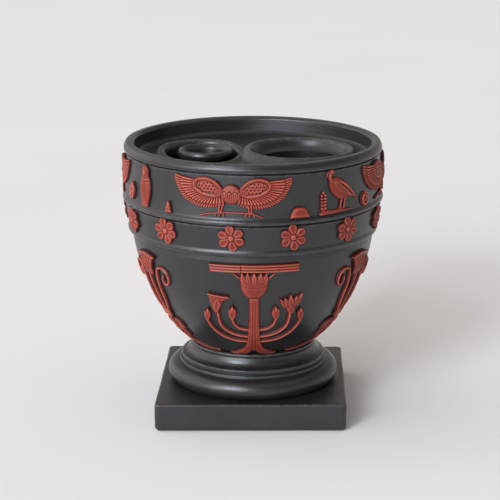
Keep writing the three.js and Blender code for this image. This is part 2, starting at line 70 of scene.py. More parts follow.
def curve(points, count, closed=False):
    """Points evenly spaced along a smooth line through the given ones."""
    p = np.array(points, float)
    n = len(p)
    if closed:
        p = np.vstack([p[-1], p, p[0], p[1]])
    else:
        p = np.vstack([2 * p[0] - p[1], p, 2 * p[-1] - p[-2]])
        n -= 1
    t = np.linspace(0, 1, 25)[:-1, None]
    pieces = []
    for i in range(n):
        a, b, c, d = p[i:i + 4]
        pieces.append(0.5 * (2 * b + (c - a) * t + (2 * a - 5 * b + 4 * c - d) * t ** 2
                             + (3 * b - a - 3 * c + d) * t ** 3))
    fine = np.vstack(pieces + [p[n + 1:n + 2]])
    run = np.concatenate([[0], np.cumsum(np.hypot(*np.diff(fine, axis=0).T))])
    at = np.linspace(0, run[-1], count + 1 if closed else count)
    line = np.stack([np.interp(at, run, fine[:, k]) for k in (0, 1)], 1)
    return line[:-1] if closed else line


def rounded(corners, step=math.radians(11)):
    """An outline whose corners (r, z, fillet radius) are rounded by arcs."""
    points = []
    for i, (r, z, fillet) in enumerate(corners):
        here = np.array((r, z), float)
        if fillet == 0:
            points.append(here)
            continue
        back = np.array(corners[i - 1][:2]) - here
        ahead = np.array(corners[i + 1][:2]) - here
        u, v = back / np.hypot(*back), ahead / np.hypot(*ahead)
        half = math.acos(np.clip(u @ v, -1, 1)) / 2
        reach = min(fillet / math.tan(half), 0.49 * np.hypot(*back), 0.49 * np.hypot(*ahead))
        centre = here + (u + v) / np.hypot(*(u + v)) * reach / math.cos(half)
        arm = here + u * reach - centre
        turn = math.pi - 2 * half
        sign = np.sign(u[1] * v[0] - u[0] * v[1])
        steps = max(2, math.ceil(turn / step))
        for k in range(steps + 1):
            a = sign * turn * k / steps
            points.append(centre + (arm[0] * math.cos(a) - arm[1] * math.sin(a),
                                    arm[0] * math.sin(a) + arm[1] * math.cos(a)))
    return np.array(points)


def supported(points, near=0.3, far=2.5):
    """The outline with extra points near corners and along straight runs, so that it shades true."""
    out = [points[0]]
    for a, b in zip(points[:-1], points[1:]):
        length = np.hypot(*(b - a))
        if length > 3 * near:
            inner = np.linspace(near, length - near, max(2, math.ceil((length - 2 * near) / far) + 1))
            out += [a + (b - a) * d / length for d in inner]
        if length > 1e-6:
            out.append(b)
    return np.array(out)


def arc(centre, radius, start, end, count):
    angles = np.radians(np.linspace(start, end, count))
    return np.stack([centre[0] + radius * np.cos(angles), centre[1] + radius * np.sin(angles)], 1)


def bend(points, reach=0.8):
    """How convex an outline is at each point: 1 on a sharp ridge, -1 in a sharp groove."""
    run = np.concatenate([[0], np.cumsum(np.hypot(*np.diff(points, axis=0).T))])
    before, after = (np.stack([np.interp(s, run, points[:, k]) for k in (0, 1)], 1)
                     for s in (run - reach, run + reach))
    along = after - before
    size = np.maximum(np.hypot(*along.T), 1e-6)
    off = points - (before + after) / 2
    return np.clip((off[:, 0] * along[:, 1] - off[:, 1] * along[:, 0]) / size / (0.35 * reach), -1, 1)


def build(replaced, points, faces, edge, slot="basalt", body="vase"):
    """The looks of a node, from points in millimetres, arrays of faces and each point's edge value: wear and
    painted highlight on ridges, painted shade in grooves.
    """
    name = f"{replaced}_looks"
    mesh = bpy.data.meshes.new(name)
    loops = np.concatenate([f.ravel() for f in faces])
    totals = np.concatenate([np.full(len(f), f.shape[1]) for f in faces])
    mesh.vertices.add(len(points))
    mesh.vertices.foreach_set("co", (points * MM).ravel())
    mesh.loops.add(len(loops))
    mesh.loops.foreach_set("vertex_index", loops)
    mesh.polygons.add(len(totals))
    mesh.polygons.foreach_set("loop_start", np.cumsum(totals) - totals)
    mesh.polygons.foreach_set("use_smooth", np.ones(len(totals), bool))
    mesh.update(calc_edges=True)
    mesh.attributes.new("edge", "FLOAT", "POINT").data.foreach_set("value", edge.astype(np.float32))
    mesh.materials.append(MATERIALS[slot])
    piece = bpy.data.objects.new(name, mesh)
    bpy.context.scene.collection.objects.link(piece)
    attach(piece, body)
    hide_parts(replaced)
    return piece


def stack_rings(node, rings, first, last, wear_and_painted_light, body="vase"):
    """A body closed by a point before the first ring and one after the last, with each ring's edge value for
    wear and painted light.
    """
    count = len(rings[0])
    here = np.arange(count)
    after = (here + 1) % count
    end = (len(rings) - 1) * count
    sides = [np.stack([low + here, low + after, low + count + after, low + count + here], 1)
             for low in range(0, end, count)]
    points = np.vstack([*rings, [first, last]])
    caps = [np.stack([np.full(count, len(points) - 2), after, here], 1),
            np.stack([np.full(count, len(points) - 1), end + here, end + after], 1)]
    edge = np.concatenate([np.repeat(wear_and_painted_light[1:-1], count), [wear_and_painted_light[0], wear_and_painted_light[-1]]])
    build(node, points, [np.vstack(sides), *caps], edge, body=body)


def lathe(node, outline, x=0, sides=TURN, body="vase"):
    """A turned piece: the outline runs up the outside from the axis and back to it."""
    outline = supported(outline)
    angles = np.arange(sides) * 2 * math.pi / sides
    rings = [np.stack([x + r * np.cos(angles), r * np.sin(angles), np.full(sides, z)], 1)
             for r, z in outline[1:-1]]
    stack_rings(node, rings, (x, 0, outline[0, 1]), (x, 0, outline[-1, 1]), bend(outline), body)


# Materials

class Nodes:
    """A small helper for building a node tree."""

    def __init__(self, tree):
        self.tree = tree

    def feed(self, made, inputs):
        """Sets each input of a node to a constant, or links it to where its value comes from."""
        for key, value in inputs.items():
            if isinstance(value, (int, float, tuple)):
                made.inputs[key].default_value = value
            else:
                self.tree.links.new(value, made.inputs[key])

    def node(self, kind, inputs=None, **settings):
        made = self.tree.nodes.new(kind)
        for key, value in settings.items():
            setattr(made, key, value)
        self.feed(made, inputs or {})
        return made.outputs

    def span(self, source, low, high, out_low, out_high, **settings):
        ends = {"From Min": low, "From Max": high, "To Min": out_low, "To Max": out_high}
        return self.node("ShaderNodeMapRange", {"Value": source, **ends}, **settings)["Result"]

    def math(self, kind, a, b):
        return self.node("ShaderNodeMath", {0: a, 1: b}, operation=kind)[0]


class Shader(Nodes):
    """A material of noises, mixes and bumps."""

    def __init__(self, name):
        self.material = bpy.data.materials.new(name)
        self.material.use_nodes = True
        super().__init__(self.material.node_tree)
        self.place = self.node("ShaderNodeTexCoord")["Object"]

    def surface(self, inputs):
        self.feed(self.tree.nodes["Principled BSDF"], inputs)
        return self.material

    def noise(self, scale, detail=3, rough=0.55, vector=None, low=0.35, high=0.65):
        """Noise between 0 and 1, stretched so that its usual range fills the scale."""
        made = self.node("ShaderNodeTexNoise", {
            "Vector": vector or self.place, "Scale": scale, "Detail": detail, "Roughness": rough,
        })
        return self.span(made["Fac"], low, high, 0, 1)

    def mix(self, share, a, b):
        """A colour from a to b."""
        a, b = ((*c, 1) if isinstance(c, tuple) else c for c in (a, b))
        return self.node("ShaderNodeMix", {0: share, 6: a, 7: b}, data_type="RGBA")[2]

    def bump(self, height, distance, strength, before=None):
        inputs = {"Height": height, "Distance": distance * MM, "Strength": strength}
        if before:
            inputs["Normal"] = before
        return self.node("ShaderNodeBump", inputs)["Normal"]

    # The edge attribute: lighter on ridges as wear and painted highlight, darker in grooves as painted shade.
    def wear_and_painted_light(self):
        return self.node("ShaderNodeAttribute", attribute_name="edge")["Fac"]


def turning_marks(shader):
    """Fine rings left by the turner's tool, by height and by distance from the axis."""
    parts = shader.node("ShaderNodeSeparateXYZ", {0: shader.place})
    flat = shader.node("ShaderNodeCombineXYZ", {"X": parts["X"], "Y": parts["Y"]})[0]
    reach = shader.node("ShaderNodeVectorMath", {0: flat}, operation="LENGTH")["Value"]
    rings = shader.node("ShaderNodeCombineXYZ", {
        "X": shader.math("MULTIPLY", parts["X"], 0.02), "Y": shader.math("MULTIPLY", parts["Y"], 0.02),
        "Z": shader.math("ADD", parts["Z"], shader.math("MULTIPLY", reach, 0.7)),
    })
    return shader.noise(900, detail=4, rough=0.7, vector=rings[0])


def basalt():
    shader = Shader("basalt_ware")
    cloud = shader.noise(38, detail=4)
    grain = shader.noise(1500, low=0.3, high=0.7)
    rings = turning_marks(shader)
    edge = shader.wear_and_painted_light()
    colour = shader.mix(cloud, (0.0095, 0.009, 0.0095), (0.0135, 0.0128, 0.0133))
    colour = shader.mix(shader.math("MULTIPLY", grain, 0.3), colour, (0.023, 0.022, 0.023))
    # Lighter on convex edges and ridges: partly rubbed wear, partly a painted highlight.
    wear_and_highlight = shader.math("MULTIPLY", shader.span(edge, 0.45, 1, 0, 0.4), shader.noise(420, detail=4))
    colour = shader.mix(wear_and_highlight, colour, (0.11, 0.107, 0.11))
    # Darker in grooves and concave corners: painted shade.
    colour = shader.mix(shader.span(edge, -0.2, -1, 0, 0.6), colour, (0.008, 0.0075, 0.008))
    rough = shader.math("ADD", shader.span(cloud, 0, 1, 0.3, 0.37), shader.span(rings, 0, 1, -0.03, 0.05))
    normal = shader.bump(rings, 0.03, 0.35)
    normal = shader.bump(shader.noise(260), 0.08, 0.25, normal)
    normal = shader.bump(grain, 0.03, 0.4, normal)
    return shader.surface({
        "Base Color": colour, "Roughness": rough, "Specular IOR Level": 0.63, "Normal": normal,
    })


def redware():
    shader = Shader("red_ware")
    cloud = shader.noise(120, detail=4)
    grain = shader.noise(2200, low=0.3, high=0.7)
    edge = shader.wear_and_painted_light()
    colour = shader.mix(cloud, (0.18, 0.0205, 0.012), (0.24, 0.031, 0.018))
    colour = shader.mix(shader.math("MULTIPLY", grain, 0.25), colour, (0.135, 0.015, 0.009))
    # Lighter on the reliefs' ridges: partly rubbed wear, partly a painted highlight.
    ridges = shader.span(edge, 0.05, 0.8, 0, 0.9)
    wear_and_highlight = shader.math("MULTIPLY", ridges, shader.noise(500, low=0.1, high=0.5))
    colour = shader.mix(wear_and_highlight, colour, (0.48, 0.118, 0.076))
    # Darker in the reliefs' grooves and hollows: painted shade.
    colour = shader.mix(shader.span(edge, -0.08, -0.8, 0, 0.85), colour, (0.035, 0.005, 0.004))
    rough = shader.span(cloud, 0, 1, 0.42, 0.52)
    normal = shader.bump(shader.noise(600, detail=4), 0.06, 0.4)
    normal = shader.bump(grain, 0.025, 0.4, normal)
    return shader.surface({
        "Base Color": colour, "Roughness": rough, "Specular IOR Level": 0.3, "Normal": normal,
    })


MATERIALS = {"basalt": basalt(), "redware": redware()}


# Turned pieces

def bowl_outline():
    """Half a section: up the outside, over the rim, past the deck's seat and down to the floor."""
    centre, radius = (UNDERSIDE["r"], UNDERSIDE["z"]), UNDERSIDE["radius"]
    belly = [(r, z, 0) for r, z in arc(centre, radius, -49.68, -8.2, 40)]
    low_ledge = [
        (52.75, 81.3, 0.15), (53, 81.75, 0.1), (54.7, 82, 0.45), (55.2, 83.2, 1.8), (54.7, 84.6, 0.9),
    ]
    high_ledge = [
        (55.95, 94.7, 0.3), (55.25, 95.05, 0.12), (55.5, 95.5, 0.1), (57.05, 95.75, 0.4),
        (57.35, 96.9, 1.5), (56.35, 98.3, 1.6), (56.1, 103, 6),
    ]
    rim = [
        (55.8, 116.5, 0.2), (55.1, 116.85, 0.1), (55.25, 117.2, 0.1), (56.45, 117.4, 0.3), (56.6, 118.9, 3),
        (55.6, 120.8, 1), (54.9, BOWL["rim"], 0.8), (53.0, BOWL["rim"], 0.9), (51.95, 120, 0.9),
    ]
    seat = [(51.4, BOWL["seat"], 0), (48.8, BOWL["seat"], 0)]
    inside = [(r, z, 0) for r, z in arc(centre, radius - BOWL["wall"], -7, -45.5, 20)]
    floor = [(23.5, BOWL["floor"], 0), (0, BOWL["floor"], 0)]
    return rounded([(0, BOWL["low"], 0), *belly, *low_ledge, *high_ledge, *rim, *seat, *inside, *floor])


def turned_pieces():
    lathe("bowl", bowl_outline())
    torus = arc((TORUS["r"], TORUS["z"]), TORUS["radius"], -64, 80, 26)
    foot = rounded([
        (0, 12.35, 0), *[(r, z, 0) for r, z in torus], (32.9, 21.1, 0.25), (32.8, 22.25, 0.3),
        (31.7, 22.55, 0.12), (31.95, 23.1, 0.2), (31.95, 24.4, 0.4), (31.3, 24.7, 0.15), (30.3, 24.95, 0.5),
        (29.3, 25.6, 0.8), (28.6, 26.5, 1), (28.1, 27.6, 1.2), (27.8, 28.8, 0.5), (27.25, 29.2, 0.12),
        (27.75, 29.6, 0.25), (27.65, 30.35, 0.25), (26.9, 30.7, 0.2), (0, 30.7, 0),
    ])
    lathe("foot", foot)
    for node, at in (("small_well", SMALL), ("large_well", LARGE)):
        hole = at["hole"] + WELL["play"]
        outer = hole + WELL["wall"]
        cup = rounded([
            (0, WELL["low"], 0), (outer, WELL["low"], 2.6), (outer, WELL["top"], 0.3),
            (hole, WELL["top"], 0.1), (hole, WELL["floor"], 2.6), (0, WELL["floor"], 0),
        ])
        lathe(node, cup, at["x"], TURN // 2)
    pot = rounded([
        (0, 66.3, 0), (10.8, 66.3, 1.4), (10.8, 105.5, 5), (9.7, 110.4, 4), (10, 112.6, 1.2),
        (11.6, 113.4, 0.9), (12.15, 115, 1.3), (11.6, 116.5, 1), (10.2, 116.8, 0.9), (8.9, 115, 1.4),
        (8.3, 110, 4), (8.3, 69.5, 2), (0, 69.5, 0),
    ])
    lathe("pot", pot, POT_X, TURN // 2, body="pot")


turned_pieces()


# Height fields: a body whose outline is cut cleanly out of a fine grid

# Faces of a cell by which corners are inside: 0 to 3 its corners, 4 to 7 its edges' crossings
CASES = {
    1: [[0, 4, 7]], 2: [[1, 5, 4]], 3: [[0, 1, 5, 7]], 4: [[2, 6, 5]], 5: [[0, 4, 7], [2, 6, 5]],
    6: [[1, 2, 6, 4]], 7: [[0, 1, 2, 6, 7]], 8: [[3, 7, 6]], 9: [[0, 4, 6, 3]],
    10: [[1, 5, 4], [3, 7, 6]], 11: [[0, 1, 5, 6, 3]], 12: [[2, 3, 7, 5]], 13: [[0, 4, 5, 2, 3]],
    14: [[1, 2, 3, 7, 4]], 15: [[0, 1, 2, 3]],
}


def cut_out(x, y, depth, height, edge, back):
    """Points (x, y, z), faces and edge values (for wear and painted light) of the closed body under the
    height where depth is above 0.
    """
    ny, nx = depth.shape
    count = nx * ny
    inside = depth > 0
    case = (inside[:-1, :-1] + 2 * inside[:-1, 1:] + 4 * inside[1:, 1:] + 8 * inside[1:, :-1]).ravel()
    corner = (np.arange(ny - 1)[:, None] * nx + np.arange(nx - 1)).ravel()
    token = np.stack([
        corner, corner + 1, corner + nx + 1, corner + nx,
        count + corner, 2 * count + corner + 1, count + corner + nx, 2 * count + corner,
    ], 1)
    faces, rims = [], []
    for number, shapes in CASES.items():
        cells = token[case == number]
        for shape in shapes:
            faces.append(cells[:, shape])
            for a, b in zip(shape, shape[1:] + shape[:1]):
                if a > 3 and b > 3:
                    rims.append(cells[:, [a, b]])
    gx, gy = np.meshgrid(x, y)
    fields = np.stack([gx, gy, height, edge, depth], -1).reshape(-1, 5)

    def crossing(step):
        other = np.roll(fields, -step, axis=0)
        gap = fields[:, 4] - other[:, 4]
        share = np.clip(fields[:, 4] / np.where(np.abs(gap) < 1e-9, 1, gap), 0.04, 0.96)
        return fields + (other - fields) * share[:, None]

    everything = np.vstack([fields, crossing(1), crossing(nx)])
    used, packed = np.unique(np.concatenate([f.ravel() for f in faces]), return_inverse=True)
    top = everything[used, :4]
    split = np.cumsum([f.size for f in faces])[:-1]
    tops = [part.reshape(f.shape) for part, f in zip(np.split(packed, split), faces)]
    rim = np.searchsorted(used, np.vstack(rims))
    n = len(top)
    bottom = top.copy()
    bottom[:, 2] = back
    walls = np.stack([rim[:, 1], rim[:, 0], rim[:, 0] + n, rim[:, 1] + n], 1)
    all_faces = [f for f in tops if len(f)] + [f[:, ::-1] + n for f in tops if len(f)] + [walls]
    points = np.vstack([top, bottom])
    return points[:, :3], all_faces, points[:, 3]


def soften(field, reach):
    """A field blurred by running means over reach cells each way, done twice."""
    for _ in range(2):
        for axis in (0, 1):
            wide = [(reach + 1, reach) if k == axis else (0, 0) for k in (0, 1)]
            total = np.cumsum(np.pad(field, wide, mode="edge"), axis=axis)
            size = field.shape[axis]
            field = (np.take(total, range(2 * reach + 1, 2 * reach + 1 + size), axis)
                     - np.take(total, range(size), axis)) / (2 * reach + 1)
    return field


def from_segment(gx, gy, a, b):
    """How far the grid's points are from the segment from a to b."""
    d = b - a
    t = np.clip(((gx - a[0]) * d[0] + (gy - a[1]) * d[1]) / max(d @ d, 1e-12), 0, 1)
    return np.hypot(gx - a[0] - t * d[0], gy - a[1] - t * d[1])


class Relief:
    """A flat relief in millimetres: x across, y up the wall, the height out from it."""

    def __init__(self, left, right, low, high):
        self.x = np.arange(left, right + CELL, CELL)
        self.y = np.arange(low, high + CELL, CELL)
        self.depth = np.full((len(self.y), len(self.x)), -1.0)
        self.height = np.zeros_like(self.depth)

    def window(self, points, reach):
        """The part of the grid near some points, and its coordinates."""
        p = np.array(points, float).reshape(-1, 2)
        (x0, y0), (x1, y1) = p.min(0) - reach, p.max(0) + reach
        i0, i1 = np.searchsorted(self.x, (x0, x1))
        j0, j1 = np.searchsorted(self.y, (y0, y1))
        part = (slice(j0, j1), slice(i0, i1))
        return part, np.meshgrid(self.x[i0:i1], self.y[j0:j1])

    def add(self, part, depth, height):
        """Lays a form over the others; height is given where depth is 0 or more."""
        near = depth > -2 * CELL
        self.height[part] = np.where(near, np.maximum(self.height[part], height), self.height[part])
        self.depth[part] = np.maximum(self.depth[part], depth)

    @staticmethod
    def domed(depth, low, high, width):
        share = np.clip(depth / width, 0, 1)
        return low + (high - low) * np.sqrt(1 - (1 - share) ** 2)

    def stroke(self, line, start, end, low, high, tilt=0.0, keen=False):
        """A rounded or keen rib along a line, its half width going from start to end."""
        line = np.array(line, float)
        half = np.linspace(start, end, len(line))
        part, (gx, gy) = self.window(line, max(start, end) + 2 * CELL)
        depth = np.full(gx.shape, -9.0)
        side = np.zeros(gx.shape)
        for i in range(len(line) - 1):
            d = line[i + 1] - line[i]
            size = max(d @ d, 1e-12)
            t = np.clip(((gx - line[i, 0]) * d[0] + (gy - line[i, 1]) * d[1]) / size, 0, 1)
            ox, oy = gx - line[i, 0] - t * d[0], gy - line[i, 1] - t * d[1]
            new = half[i] + (half[i + 1] - half[i]) * t - np.hypot(ox, oy)
            side = np.where(new > depth, (ox * d[1] - oy * d[0]) / math.sqrt(size), side)
            depth = np.maximum(depth, new)
        widest = max(start, end)
        dome = self.domed(depth, low, high, widest)
        if keen:
            dome = low + (high - low) * np.clip(depth / widest, 0, 1)
        self.add(part, depth, dome + tilt * np.clip(side / widest, -1, 1))

    def petal(self, base, tip, width, low, high, belly=0.55, blunt=0.8, groove=0.0, tilt=0.0, dome=None):
        """A petal or leaf from base to tip, widest at a share of its length, with a groove down it."""
        base, tip = np.array(base, float), np.array(tip, float)
        d = tip - base
        length = np.hypot(*d)
        d /= length
        part, (gx, gy) = self.window([base, tip], width / 2 + 3 * CELL)
        t = ((gx - base[0]) * d[0] + (gy - base[1]) * d[1]) / length
        across = (gx - base[0]) * d[1] - (gy - base[1]) * d[0]
        inner = np.clip(t, 0, 1)
        half = width / 2 * np.sin(math.pi * inner ** (math.log(0.5) / math.log(belly))) ** blunt
        depth = half - np.abs(across) - np.maximum(0, np.maximum(-t, t - 1)) * length
        depth = np.minimum(depth, np.minimum(t + 0.02, 1.02 - t) * length * 1.5)
        height = self.domed(depth, low, high, dome or width * 0.35)
        height -= groove * np.exp(-(across / 0.28) ** 2) * np.clip((1 - t) * 4, 0, 1) * (t > 0)
        self.add(part, depth, height + tilt * across / width)

    def ellipse(self, cx, cy, rx, ry, low, high, width=None, tilt=0.0):
        part, (gx, gy) = self.window([(cx, cy)], max(rx, ry) + 2 * CELL)
        a, b = math.cos(tilt), math.sin(tilt)
        u, v = (gx - cx) * a + (gy - cy) * b, (gy - cy) * a - (gx - cx) * b
        depth = (1 - np.sqrt((u / rx) ** 2 + (v / ry) ** 2)) * min(rx, ry)
        self.add(part, depth, self.domed(depth, low, high, width or min(rx, ry)))

    def area(self, outline, low, high, width, mirror=False):
        """A plate with this closed outline and a rounded edge."""
        outline = np.array(outline, float)
        if mirror:
            outline = np.vstack([outline, (outline * (-1, 1))[::-1]])
        part, (gx, gy) = self.window(outline, 3 * CELL)
        far = np.full(gx.shape, 9.0)
        within = np.zeros(gx.shape, bool)
        for a, b in zip(outline, np.roll(outline, -1, axis=0)):
            far = np.minimum(far, from_segment(gx, gy, a, b))
            d = b - a
            crosses = (a[1] > gy) != (b[1] > gy)
            if abs(d[1]) > 1e-12:
                within ^= crosses & (gx < a[0] + (gy - a[1]) / d[1] * d[0])
        depth = np.where(within, far, -far)
        self.add(part, depth, self.domed(depth, low, high, width))

    def score(self, line, width, deep):
        """A groove along a line."""
        line = np.array(line, float)
        part, (gx, gy) = self.window(line, 2.5 * width)
        far = np.full(gx.shape, 9.0)
        for a, b in zip(line[:-1], line[1:]):
            far = np.minimum(far, from_segment(gx, gy, a, b))
        cut = self.height[part] - deep * np.exp(-(far / width) ** 2)
        self.height[part] = np.where(self.height[part] > 0, np.maximum(cut, 0.12), 0)

    def pit(self, x, y, width, deep):
        """A small round hollow."""
        self.score([(x, y)] * 2, width, deep)

    def flat_body(self):
        """The body of the relief, still flat, with how far each point stands above or below its neighbours:
        wear and painted highlight on ridges, painted shade in grooves.
        """
        inside = (self.depth > 0).astype(float)
        reach = max(1, round(0.55 / CELL))
        mean = soften(self.height * inside, reach) / np.maximum(soften(inside, reach), 1e-3)
        edge = np.clip((self.height - mean) / 0.22, -1, 1)
        return cut_out(self.x, self.y, self.depth, self.height, edge, BACK)


# Wrapping a flat relief on to the bowl

def frieze_skin():
    """The wall's radius by height, its ledges and grooves a little smoothed."""
    wall = bowl_outline()
    wall = wall[(wall[:, 1] > FRIEZE[0]) & (wall[:, 1] < FRIEZE[1]) & (wall[:, 0] > 52)]
    heights = np.linspace(*FRIEZE, 400)
    window = np.hanning(21)[1:-1]
    padded = np.pad(np.interp(heights, wall[:, 1], wall[:, 0]), len(window) // 2, mode="edge")
    return heights, np.convolve(padded, window / window.sum(), mode="valid")


WALL_Z, WALL_R = frieze_skin()


def on_wall(points, degrees, height):
    z = height + points[:, 1]
    skin = np.interp(z, WALL_Z, WALL_R)
    angle = math.radians(degrees) + points[:, 0] / (skin + SINK)
    r = skin + points[:, 2]
    return np.stack([r * np.sin(angle), -r * np.cos(angle), z], 1)


def on_underside(points, degrees):
    u = UNDERSIDE
    slope = math.asin((u["z"] - u["top"]) / u["radius"]) - points[:, 1] / u["radius"]
    skin = u["r"] + u["radius"] * np.cos(slope)
    reach = u["radius"] + points[:, 2]
    angle = math.radians(degrees) + points[:, 0] / skin
    r = u["r"] + reach * np.cos(slope)
    return np.stack([r * np.sin(angle), -r * np.cos(angle), u["z"] - reach * np.sin(slope)], 1)


def apply_relief(node, flat, wrap, *where):
    points, faces, edge = flat
    build(node, wrap(points, *where), faces, edge, "redware")


# Winged sun

LOBE = [(3.9, -1.6), (8, -2.1), (12.4, -1.2), (15.4, 0.8), (16.7, 3.2), (16.3, 5.2)]
TIER = [(3.4, -3.3), (8, -3.9), (13, -3.5), (17.6, -1.7), (20.6, 1.1), (21.6, 3.8), (21.2, 5.6)]
EDGE = [(3.2, -4.3), (6, -5.3), (9.5, -5.75), (13.5, -5.5), (17.3, -4.3), (20.5, -2.4), (22.7, 0.3),
        (24.1, 3), (24.8, 5), (24.6, 6.3)]
OUTER_QUILLS, INNER_QUILLS = 27, 19


def feathers(relief, roots, tips, count, start, end, low, high, tilt):
    """A row of feathers from one line to another, a groove between each two, on both wings."""
    for a, b in zip(curve(roots, count), curve(tips, count)):
        a = a + (a - b) * 0.12
        for side in (1, -1):
            relief.stroke([a * (side, 1), b * (side, 1)], start, end, low, high, tilt * side)


def covert(relief, side):
    """The oval of small feathers at a wing's shoulder: a double rim about rows of pits."""
    lobe = curve([(3.4, 0), (4.2, 3.4), (7, 5.8), (10.6, 6.9), (14, 6.5), (16.2, 4.8), (16.4, 2.2), (14.2, 0),
                  (10.6, -1.4), (6.6, -1.7)], 60, closed=True)
    ring = curve([(4.4, 2.6), (7.2, 5.2), (10.6, 6.2), (13.6, 5.8), (15.4, 4.3), (15.5, 2.4),
                  (13.5, 0.7), (10.4, -0.6), (6.8, -0.9)], 40)
    relief.area(lobe * (side, 1), 0.9, 1.4, 0.6)
    relief.stroke(ring * (side, 1), 0.42, 0.42, 1.2, 1.75, keen=True)
    inner = curve([(5.6, 2.2), (7.9, 4.2), (10.7, 5.1), (13.2, 4.8), (14.4, 3.7), (14.3, 2.5),
                   (12.6, 1.2), (10.1, 0.3), (7, 0)], 40)
    relief.score(inner * (side, 1), 0.22, 0.3)
    for row in range(4):
        for k in range(6):
            x, y = 6.6 + 1.55 * k + 0.75 * (row % 2), 4.3 - 1.25 * row
            if ((x - 9.9) / 4.1) ** 2 + ((y - 2.5) / 2.5) ** 2 < 1:
                relief.pit(side * x, y, 0.3, 0.5)


def winged_sun():
    relief = Relief(-26.2, 26.2, -11, 8.4)
    under = np.vstack([curve(EDGE, 50) - (0.25, -0.25), [(16.4, 5), (10, 4), (3.6, 0.5)]])
    for side in (1, -1):
        relief.area(under * (side, 1), 0.2, 0.32, 0.3)
    feathers(relief, TIER, EDGE, OUTER_QUILLS, 0.36, 0.52, 0.35, 1.0, 0.12)
    feathers(relief, LOBE, TIER, INNER_QUILLS, 0.42, 0.58, 0.65, 1.35, 0.1)
    for side in (1, -1):
        covert(relief, side)
        for k in range(4):
            x = 12.9 + 0.75 * k
            relief.score([(side * x, 1.3 + 0.3 * k), (side * (x + 0.4), 4.8)], 0.2, 0.35)
    relief.ellipse(0, 0, 4.15, 4.15, 0.75, 1.9, 2.6)
    ripple = [(-3.5, 0.6), (-2.6, 1.3), (-1.6, 0.5), (-0.5, 1.1), (0.6, 0.4), (1.6, 1.2), (2.6, 0.6),
              (3.4, 1.2)]
    relief.score(curve(ripple, 40), 0.2, 0.35)
    for k in range(8):
        x = -2.9 + 0.82 * k
        relief.score([(x, 0.2), (x * 0.86, -0.6 - 2.6 * math.sqrt(1 - (x / 3.9) ** 2))], 0.19, 0.3)
    for x, lean in ((-4.6, -0.9), (7.9, 0.8)):
        for shift in (-0.75, 0.75):
            leg = [(x - lean + shift, -3.8), (x - lean * 0.2 + shift * 0.8, -6), (x + shift * 0.4, -8.2)]
            relief.stroke(curve(leg, 8), 0.46, 0.4, 0.45, 1.1)
        for reach in (-2.1, -0.3, 1.7):
            claw = [(x, -7.7), (x + reach * 0.7, -8), (x + reach, -9.4)]
            relief.stroke(curve(claw, 7), 0.5, 0.34, 0.45, 1.0)
    twig = [(-13.3, -9.5), (-9.6, -8.5), (-4, -7.9), (2, -7.75), (8, -7.9), (10.6, -8.8), (13, -9.7)]
    relief.stroke(curve(twig, 30), 0.42, 0.36, 0.4, 0.95)
    return relief.flat_body()


# Rosette

def rosette():
    relief = Relief(-6.4, 6.4, -6.4, 6.4)
    for k in range(6):
        a = math.radians(90 + 60 * k + 3 * math.sin(2.3 * k))
        size = 5.75 + 0.15 * math.sin(3.1 * k)
        tip = np.array((math.cos(a), math.sin(a))) * size
        relief.petal(tip * 0.05, tip, 4.15, 0.45, 1.2, belly=0.64, blunt=0.62, tilt=0.3, dome=0.9)

        def turn(degrees, r):
            b = a + math.radians(degrees)
            return r * math.cos(b), r * math.sin(b)

        for side in (-1, 1):
            rim = [turn(side * 7, 1.9), turn(side * 18, 3.3), turn(side * 17, 4.6), turn(side * 4, 5.3)]
            relief.stroke(curve(rim, 9), 0.34, 0.42, 0.9, 1.35)
        relief.score([turn(0, 1.8), turn(0, 4.4)], 0.3, 0.14)
    relief.ellipse(0, 0, 1.25, 1.25, 0.9, 1.75)
    relief.pit(0, 0, 0.3, 0.3)
    return relief.flat_body()


# Ibis on its ground line, with a plant before it

